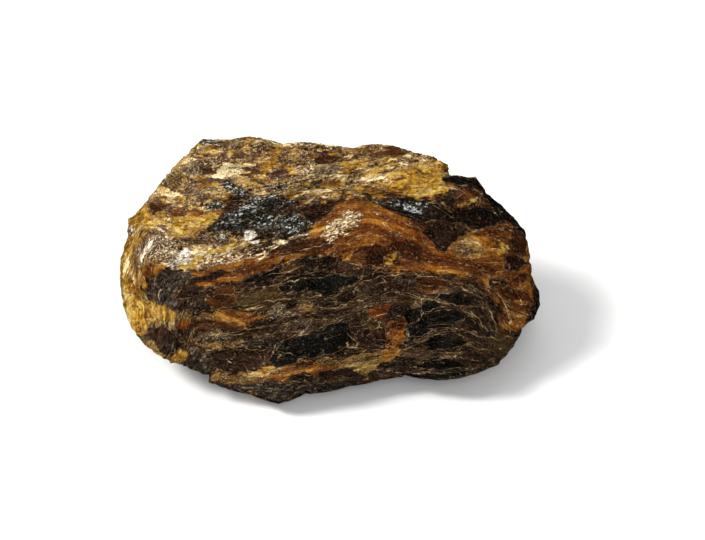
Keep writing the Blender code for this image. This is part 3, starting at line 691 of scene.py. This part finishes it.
RIM_GRIP = 5


def round_the_rim(angles, rim_angles, rim_values):
    order = np.argsort(rim_angles)
    return np.interp(angles, rim_angles[order], rim_values[order], period=2.0 * math.pi)


def spread(values, window, combine):
    return combine([np.roll(values, s) for s in range(-window, window + 1)], axis=0)


def fit_outline(points):
    places = places_on_face(points)
    angles, radii = np.arctan2(places[:, 1], places[:, 0]), np.hypot(places[:, 0], places[:, 1])
    slots = ((angles + math.pi) / (2.0 * math.pi) * RIM_STEPS).astype(int) % RIM_STEPS
    widest = np.zeros(RIM_STEPS)
    np.maximum.at(widest, slots, radii)
    reach = spread(spread(widest, 1, np.max), 2, np.mean)
    rim_angles = (np.arange(RIM_STEPS) + 0.5) / RIM_STEPS * 2.0 * math.pi - math.pi
    line = corners_of(OUTLINE)
    wanted = round_the_rim(rim_angles, np.arctan2(line[:, 1], line[:, 0]), np.hypot(line[:, 0], line[:, 1]))
    growth = wanted / reach - 1.0
    at_rim = round_the_rim(angles, rim_angles, growth)
    within = round_the_rim(angles, rim_angles, spread(growth, 30, np.mean))
    share = np.clip(radii / round_the_rim(angles, rim_angles, reach), 0.0, 1.0) ** RIM_GRIP
    growth = within + (at_rim - within) * share
    fitted = points.copy()
    fitted[:, 0] += growth * places[:, 0]
    fitted[:, 1] += growth * places[:, 1] / math.sin(LEAN)
    return fitted, np.abs(growth).max()


points = read_points()
for turn in range(3):
    points, change = fit_outline(points)
    print("largest change of the outline:", round(float(change) * 100, 1), "%")
write_points(points)

# %% [markdown]
# The colouring needs to know, at every point, what the relief knew. Each list of values is stored on
# the mesh as a named attribute, and the material reads it by that name. A distance in millimetres makes
# a better attribute than a colour: it blends smoothly between points, so the material can cut a line
# much finer than the faces from it. The distance to a crack is negative on one side of it, so that it
# passes through nought exactly at the crack.

# %% Store what the material reads
def store(name, values):
    kind = "FLOAT" if values.ndim == 1 else "FLOAT_VECTOR"
    held = piece.data.attributes.new(name, kind, "POINT")
    held.data.foreach_set("value" if values.ndim == 1 else "vector", values.astype(np.float32).ravel())


store("sheets", sheets)
store("crack_gap", crack_gap * crack_side)
for name, field in fields.items():
    store(name, field)
for name, number in plies.items():
    store(name, number)
for name, (gap, tone) in chips.items():
    store(name + "_gap", gap * np.where(tone > 0.5, 1.0, -1.0))
    store(name + "_tone", tone)
bpy.ops.object.shade_smooth_by_angle(angle=math.radians(35.0))
print("stored:", [held.name for held in piece.data.attributes if not held.name.startswith(".")])

# %% [markdown]
# One material covers the piece, because the amber is one body with light passing through it. It is
# built from nodes. These helpers add a node, set its values and wire it, so that the recipe below can
# be read from top to bottom.

# %% Helpers for the material
amber = bpy.data.materials.new("amber")
amber.use_nodes = True
nodes, links = amber.node_tree.nodes, amber.node_tree.links
nodes.clear()


def put(socket, value):
    if isinstance(value, bpy.types.NodeSocket):
        links.new(value, socket)
    else:
        socket.default_value = value


def node(kind, sockets=()):
    """Adds a node, and sets or wires the sockets that are named."""
    made = nodes.new("ShaderNode" + kind)
    for name, value in dict(sockets).items():
        put(made.inputs[name], value)
    return made


def maths(operation, *values):
    made = node("Math")
    made.operation = operation
    for socket, value in zip(made.inputs, values):
        put(socket, value)
    return made.outputs[0]


def times(a, b):
    return maths("MULTIPLY", a, b)


def stored(name, output="Fac"):
    made = node("Attribute")
    made.attribute_name = name
    return made.outputs[output]


def step_up(value, low, high, to_low=0.0, to_high=1.0):
    """Goes smoothly from to_low to to_high as value goes from low to high."""
    made = node("MapRange")
    made.interpolation_type = "SMOOTHSTEP"
    for socket, given in zip(made.inputs, (value, low, high, to_low, to_high)):
        put(socket, given)
    return made.outputs[0]


def stretched(vector, size):
    """The places divided by a size in mm along, up and through the layers."""
    return node("Mapping", {"Vector": vector, "Scale": [1.0 / s for s in size]}).outputs[0]


def grain(size, detail=4.0, roughness=0.6, where=None):
    return node("TexNoise", {"Vector": stretched(where or sheets_stored, size), "Scale": 1.0,
                             "Detail": detail, "Roughness": roughness}).outputs["Fac"]


def shades(value, *stops):
    """A colour ramp. Each stop is a place from 0 to 1, then red, green and blue."""
    made = node("ValToRGB", {"Fac": value})
    band = made.color_ramp.elements
    while len(band) < len(stops):
        band.new(0.5)
    for stop, (place, *colour) in zip(band, stops):
        stop.position, stop.color = place, (*colour, 1.0)
    return made.outputs["Color"]


def blend(under, over, share, kind="FLOAT"):
    made = node("Mix")
    made.data_type = kind
    for name, value in (("Factor", share), ("A", under), ("B", over)):
        put(made.inputs[name], value)
    return made.outputs["Result"]


def cover(under, over, share):
    return blend(under, over, share, "RGBA")


sheets_stored = stored("sheets", "Vector")
plain_places = node("TexCoord").outputs["Object"]
print("material started:", amber.name)

# %% [markdown]
# First the grain. Amber's streaks run along the layers, so the noise is stretched: long along them and
# thin across. Several sizes are added up, and each chip's own tone shifts the sum, so that neighbouring
# chips differ as real ones do. Golden resin is cloudy and lumpy instead, so its noise takes no notice of
# the layers.

# %% Streaks
broad = grain((14.0, 2.2, 9.0), 3.0)
streaks = grain((4.5, 0.55, 3.0), 5.0)
threads = grain((3.2, 0.38, 2.4), 3.0, 0.55)
specks = grain((0.75, 0.42, 0.7), 3.0, 0.7)
clouds = grain((4.5 * MM, 4.5 * MM, 4.5 * MM), 2.0, 0.5, plain_places)
lumps = grain((1.2 * MM, 0.8 * MM, 1.0 * MM), 3.0, 0.6, plain_places)
pane_tone, splinter_tone, chip_tone = (maths("SUBTRACT", stored(name + "_tone"), 0.5) for name in CHIPS)


def crystals(size):
    """A random number for each tiny crystal, by cutting space into Voronoi cells of the given size."""
    cells = node("TexVoronoi", {"Vector": stretched(sheets_stored, size), "Scale": 1.0})
    parts = node("SeparateColor", {"Color": cells.outputs["Color"]})
    return maths("SUBTRACT", parts.outputs["Red"], 0.5)


flake_tone = crystals((0.80, 0.34, 0.60))
spark = crystals((0.46, 0.36, 0.42))


def sum_of(*parts):
    """Adds up (value, weight) pairs."""
    total = 0.0
    for value, weight in parts:
        total = maths("MULTIPLY_ADD", value, weight, total)
    return total


glass_tone = sum_of((broad, 0.38), (streaks, 0.14), (specks, 0.24), (pane_tone, 0.08), (splinter_tone, 0.08),
                    (1.0, 0.12))
body_tone = sum_of((broad, 0.34), (streaks, 0.28), (threads, 0.18), (specks, 0.30), (splinter_tone, 0.14),
                   (1.0, -0.05))
crust_tone = sum_of((broad, 0.35), (streaks, 0.30), (threads, 0.28), (specks, 0.30), (splinter_tone, 0.16),
                    (chip_tone, 0.10), (flake_tone, 0.16), (1.0, -0.115))
gold_tone = sum_of((clouds, 0.36), (lumps, 0.42), (streaks, 0.10), (specks, 0.18), (flake_tone, 0.12),
                   (splinter_tone, 0.12), (1.0, -0.03))
ash_tone = sum_of((clouds, 0.30), (lumps, 0.40), (specks, 0.30))
# spark_tone sets where jet's painted glints and the white painted highlights fall, and the grain of tan.
spark_tone = sum_of((broad, 0.30), (specks, 0.45), (spark, 0.34), (chip_tone, 0.14), (1.0, 0.125))

# %% [markdown]
# Each finish has its own ramp of colours, from its shaded streaks to its bright ones, and its own
# clearness and dullness. Its border is ragged: noise is added to the distance before it is cut, so the
# straight sides of an outline break up into flakes. Crust and gold are mixed: they hold patches of other
# resin, and noise decides where.

# %% Finishes
FINISHES = {
    "crust": (3.0, 0.25, 0.36, crust_tone,
              ((0.36, 0.034, 0.015, 0.006), (0.44, 0.11, 0.052, 0.018), (0.51, 0.28, 0.15, 0.036),
               (0.58, 0.55, 0.34, 0.09), (0.66, 1.0, 0.84, 0.46))),
    "warm": (2.4, 0.60, 0.18, glass_tone,
             ((0.40, 0.032, 0.006, 0.001), (0.46, 0.17, 0.038, 0.002), (0.53, 0.48, 0.155, 0.005),
              (0.60, 1.0, 0.54, 0.07))),
    "purple": (0.8, 0.75, 0.12, glass_tone,
               ((0.40, 0.011, 0.004, 0.003), (0.5, 0.034, 0.011, 0.007), (0.61, 0.12, 0.050, 0.030))),
    "red": (1.0, 0.75, 0.12, glass_tone,
            ((0.40, 0.028, 0.006, 0.003), (0.5, 0.115, 0.029, 0.007), (0.61, 0.38, 0.125, 0.020))),
    "olive": (1.0, 0.75, 0.14, glass_tone,
              ((0.38, 0.024, 0.012, 0.003), (0.5, 0.080, 0.042, 0.010), (0.62, 0.21, 0.12, 0.032))),
    "orange": (1.1, 0.60, 0.15, glass_tone,
               ((0.40, 0.05, 0.006, 0.001), (0.5, 0.22, 0.046, 0.001), (0.60, 0.70, 0.25, 0.008))),
    "honey": (1.4, 0.45, 0.22, body_tone,
              ((0.38, 0.026, 0.009, 0.002), (0.5, 0.15, 0.066, 0.010), (0.58, 0.42, 0.23, 0.034),
               (0.66, 0.90, 0.64, 0.20))),
    "dust": (1.8, 0.30, 0.38, crust_tone,
             ((0.36, 0.018, 0.008, 0.003), (0.5, 0.058, 0.030, 0.010), (0.66, 0.22, 0.14, 0.055))),
    "ash": (1.0, 0.50, 0.30, ash_tone,
            ((0.42, 0.004, 0.003, 0.003), (0.53, 0.017, 0.010, 0.009), (0.61, 0.18, 0.125, 0.09))),
    "gold": (0.9, 0.52, 0.18, gold_tone,
             ((0.38, 0.10, 0.030, 0.002), (0.46, 0.40, 0.17, 0.006), (0.54, 0.72, 0.38, 0.022),
              (0.63, 1.0, 0.80, 0.26))),
    "tan": (2.2, 0.15, 0.42, spark_tone,
            ((0.36, 0.05, 0.020, 0.007), (0.5, 0.22, 0.11, 0.034), (0.64, 0.95, 0.76, 0.46))),
    "cream": (2.4, 0.10, 0.44, crust_tone,
              ((0.36, 0.12, 0.058, 0.016), (0.5, 0.52, 0.34, 0.12), (0.66, 1.0, 0.86, 0.52))),
    "black": (0.5, 0.88, 0.10, glass_tone,
              ((0.4, 0.005, 0.006, 0.006), (0.52, 0.014, 0.016, 0.016), (0.62, 0.048, 0.041, 0.030))),
    # Jet: black glass, and the near-white top of its ramp is painted glints.
    "jet_with_glints": (1.0, 0.60, 0.12, spark_tone,
            ((0.42, 0.004, 0.006, 0.006), (0.54, 0.018, 0.024, 0.024), (0.62, 0.10, 0.115, 0.105),
             (0.68, 0.90, 0.98, 0.92))),
    # Silver: grey-brown cracks, and the near-white top of its ramp is a painted highlight.
    "silver_with_highlight": (2.0, 0.15, 0.20, crust_tone,
               ((0.36, 0.040, 0.020, 0.010), (0.49, 0.13, 0.082, 0.045), (0.57, 0.36, 0.28, 0.19),
                (0.66, 1.0, 0.96, 0.84))),
    # The white finish is a painted highlight, near-white whatever the light.
    "painted_highlight": (1.0, 0.10, 0.20, spark_tone,
              ((0.36, 0.24, 0.19, 0.12), (0.5, 0.72, 0.68, 0.56), (0.62, 1.0, 1.0, 0.95))),
}
PATCHES = {
    "crust": ((step_up(grain((6.0, 1.3, 4.0)), 0.55, 0.57),
               ((0.36, 0.10, 0.024, 0.001), (0.49, 0.44, 0.17, 0.003), (0.60, 0.90, 0.56, 0.06))),
              (step_up(grain((5.0, 1.1, 3.5)), 0.56, 0.58),
               ((0.38, 0.030, 0.009, 0.005), (0.5, 0.10, 0.038, 0.019), (0.62, 0.26, 0.13, 0.075)))),
    "gold": ((step_up(grain((2.6, 1.3, 2.2)), 0.59, 0.62),
              ((0.36, 0.14, 0.060, 0.010), (0.5, 0.34, 0.19, 0.060), (0.62, 0.80, 0.62, 0.30))),
             (step_up(grain((2.8, 0.9, 2.4)), 0.60, 0.63),
              ((0.36, 0.040, 0.012, 0.002), (0.5, 0.16, 0.055, 0.006), (0.62, 0.34, 0.15, 0.02)))),
}
ragged_broad = maths("SUBTRACT", grain((3.2, 0.7, 2.4), 5.0), 0.5)
ragged = sum_of((ragged_broad, 1.6), (maths("SUBTRACT", specks, 0.5), 1.0), (splinter_tone, 0.5))
colour = shades(body_tone, (0.38, 0.008, 0.004, 0.003), (0.46, 0.020, 0.008, 0.004),
                (0.54, 0.050, 0.018, 0.008), (0.61, 0.14, 0.060, 0.020), (0.68, 0.40, 0.22, 0.075))
clear, dull = 0.65, 0.24
share, depths = {}, {}
for finish, (border, clearness, dullness, tone, stops) in FINISHES.items():
    depths[finish] = maths("MULTIPLY_ADD", ragged, border, stored(finish))
    share[finish] = step_up(depths[finish], -0.25, 0.25)
    own_colour = shades(tone, *stops)
    for patches, patch_stops in PATCHES.get(finish, ()):
        own_colour = cover(own_colour, shades(gold_tone, *patch_stops), patches)
        clearness = blend(clearness, 0.55, patches)
    colour = cover(colour, own_colour, share[finish])
    clear = blend(clear, clearness, share[finish])
    dull = blend(dull, dullness, share[finish])
print("finishes:", list(share))

# %% [markdown]
# The edges of layers and chips, and the long cracks, are crushed amber: thin pale lines. A ping-pong of
# the layer's number is the distance to the nearest layer edge, and is cut to a line. The lines come and
# go, because noise sets where they are strong.

# %% Pale edges and cracks
def line_where(distance, width):
    """1 where the distance is nought, falling to 0 at the given width."""
    return step_up(maths("ABSOLUTE", distance), 0.0, width, 1.0, 0.0)


def layer_edge(name, width):
    return line_where(times(maths("PINGPONG", stored(name), 0.5), PLIES[name][0]), width)


comes_and_goes = step_up(grain((5.0, 1.6, 4.0), 3.0), 0.44, 0.62)
comes_too = step_up(grain((3.4, 2.1, 3.0), 3.0), 0.50, 0.66)
comes_often = step_up(grain((3.0, 1.5, 3.0), 3.0), 0.40, 0.56, 0.15, 1.0)
comes_seldom = step_up(grain((6.0, 3.0, 5.0), 2.0), 0.50, 0.58)


def hairlines(size, width):
    """Thin lines where noise crosses its middle value, so they wind along the layers and never end."""
    return line_where(maths("SUBTRACT", grain(size, 1.5, 0.5), 0.5), width)


in_pane = maths("MAXIMUM", maths("MAXIMUM", share["purple"], share["red"]),
                maths("MAXIMUM", share["olive"], share["black"]))
kept = maths("MULTIPLY_ADD", in_pane, -0.8, 1.0)
edges = times(layer_edge("ply_thick", 0.12), comes_and_goes)
for name, width, where in (("pane", 0.10, comes_too), ("splinter", 0.07, comes_too),
                           ("chip", 0.05, comes_too)):
    edges = maths("MAXIMUM", edges, times(line_where(stored(name + "_gap"), width), where))
edges = times(edges, kept)
edges = maths("MAXIMUM", edges, times(hairlines((11.0, 2.2, 8.0), 0.009), comes_seldom))
line_width = step_up(streaks, 0.35, 0.65, 0.07, 0.16)
broken_line = step_up(specks, 0.32, 0.54, 0.45, 1.0)
crack = line_where(stored("crack_gap"), times(line_width, 1.3))
edges = maths("MAXIMUM", edges, times(crack, broken_line))
for name in CLEAR_PANES:
    rim = line_where(depths[name], line_width)
    edges = maths("MAXIMUM", edges, times(rim, times(broken_line, comes_often)))
pale = shades(crust_tone, (0.36, 0.08, 0.030, 0.008), (0.5, 0.24, 0.115, 0.034),
              (0.66, 0.70, 0.50, 0.22))
colour = cover(colour, pale, times(edges, 0.85))

# %% [markdown]
# Crushed amber is a powder of grains, some of them catching the light and some in shadow. Fine noise cut
# hard paints both: pale grains as painted glints and dark grains as painted shade. Glass has a few of
# them too, and one crystal in fifty or so gets a painted glint everywhere.

# %% Grains: painted glints and painted shade
crushed_share = step_up(clear, 0.15, 0.60, 1.0, 0.30)
grain_glints = step_up(grain((0.40, 0.24, 0.36), 2.0, 0.7), 0.57, 0.62)
shaded_grains = step_up(grain((0.46, 0.24, 0.40), 2.0, 0.7), 0.56, 0.61)
shaded_grains = times(shaded_grains, times(crushed_share, 0.65))
grain_glints = times(grain_glints, times(crushed_share, 0.70))
# Painted shade on dark grains, then painted glints on pale grains.
colour = cover(colour, (0.040, 0.018, 0.006, 1.0), shaded_grains)
colour = cover(colour, (0.95, 0.80, 0.48, 1.0), grain_glints)
# Painted glints: one crystal in fifty or so becomes a warm near-white speck on every finish.
speck_glints = times(step_up(spark, 0.468, 0.49), times(comes_often, 0.38))
colour = cover(colour, (0.95, 0.74, 0.42, 1.0), speck_glints)

# %% [markdown]
# Amber is see-through, and its depth is most of its look. Light passes into the windows by plain
# transmission, bends by amber's own index of 1.54, and is soaked up on its way by the body of the piece,
# blue first and red last. Crushed amber throws the light back at once, so transmission falls there. A
# clean fracture is as smooth as glass and a crust is dull, so roughness follows the same shares.

# %% Light in the amber
AMBER_INDEX = 1.54
ABSORBED_COLOUR = (0.885, 0.625, 0.14, 1.0)
ABSORBED_DENSITY = 600.0

clear = times(clear, maths("MULTIPLY_ADD", edges, -0.9, 1.0))
dull = blend(dull, 0.40, edges)
dull = sum_of((dull, 1.0), (maths("SUBTRACT", specks, 0.4), 0.15))

shader = node("BsdfPrincipled", {"Base Color": colour, "Transmission Weight": clear, "Roughness": dull,
                                 "IOR": AMBER_INDEX, "Specular IOR Level": 0.25})
absorb = node("VolumeAbsorption", {"Color": ABSORBED_COLOUR, "Density": ABSORBED_DENSITY})
node("OutputMaterial", {"Surface": shader.outputs["BSDF"], "Volume": absorb.outputs["Volume"]})

# %% [markdown]
# The finest relief, under a quarter of a millimetre, is too fine for the skin's faces. The Bump node
# tilts the light there instead: grit on the crust, and the faint ribs that a break leaves on glass.

# %% Fine bumps
grit = times(grain((0.35, 0.22, 0.35), 2.0, 0.7), step_up(clear, 0.2, 0.7, 1.0, 0.06))
ribs = times(grain((1.6, 0.28, 1.6), 3.0), step_up(clear, 0.2, 0.7, 0.8, 0.12))
bump = node("Bump", {"Strength": 0.9, "Distance": 0.22 * MM, "Height": maths("ADD", grit, ribs)})
put(shader.inputs["Normal"], bump.outputs["Normal"])
piece.data.materials.clear()
piece.data.materials.append(amber)
print("nodes in the material:", len(nodes))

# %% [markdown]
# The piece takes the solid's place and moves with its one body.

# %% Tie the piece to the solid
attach(piece, "root")
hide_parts("raw_amber")

# %% [markdown]
# The floor is a plain pale sheet. The main light stands high on the left, so the top and the left end are
# bright, the broad face is in half shade, and a soft shadow falls to the right. Two wide, weak lights and
# an even pale world fill the shade. Smooth breaks would mirror all of them as a grey veil, so they are
# kept out of reflections and of the light that passes through the resin, and a small light in the main
# one's place makes the sparkle instead.

# %% Floor and light
FLOOR_SIZE = 6.0

bpy.ops.object.select_all(action="DESELECT")
bpy.ops.mesh.primitive_plane_add(size=FLOOR_SIZE, location=(0.0, 0.0, -0.00005))
floor = bpy.context.object
floor.name = "floor"
floor_paint = bpy.data.materials.new("floor_paint")
floor_paint.use_nodes = True
paint = floor_paint.node_tree.nodes["Principled BSDF"].inputs
paint["Base Color"].default_value = (0.75, 0.75, 0.75, 1.0)
paint["Roughness"].default_value = 0.9
paint["Specular IOR Level"].default_value = 0.0
floor.data.materials.append(floor_paint)
floor.visible_glossy = False


def soft_light(name, place, size, power, tint):
    bpy.ops.object.light_add(type="AREA", location=place)
    light = bpy.context.object
    light.name = name
    light.data.shape = "DISK"
    light.data.size = size
    light.data.energy = power
    light.data.color = tint
    light.rotation_euler = (-Vector(place)).to_track_quat("-Z", "Y").to_euler()
    return light


MAIN_PLACE = (-1.10, 0.0, 1.15)
MAIN_TINT = (1.0, 0.98, 0.95)
LIGHTS = {
    "main_light": (MAIN_PLACE, 0.60, 25.0, MAIN_TINT),
    "back_fill": ((0.1, 1.0, 1.9), 1.8, 8.0, (1.0, 1.0, 1.0)),
    "front_fill": ((0.3, -1.6, 1.2), 1.8, 22.0, (1.0, 1.0, 1.0)),
}
for name, values in LIGHTS.items():
    light = soft_light(name, *values)
    light.visible_glossy = False
    light.visible_transmission = False
soft_light("sparkle_light", MAIN_PLACE, 0.24, 6.0, MAIN_TINT)

world = bpy.data.worlds.new("studio")
bpy.context.scene.world = world
world.use_nodes = True
sky = world.node_tree.nodes["Background"].inputs
sky["Color"].default_value = (0.98, 0.99, 1.0, 1.0)
sky["Strength"].default_value = 0.53
world.cycles_visibility.glossy = False
world.cycles_visibility.transmission = False
bpy.context.scene.view_settings.view_transform = "Standard"
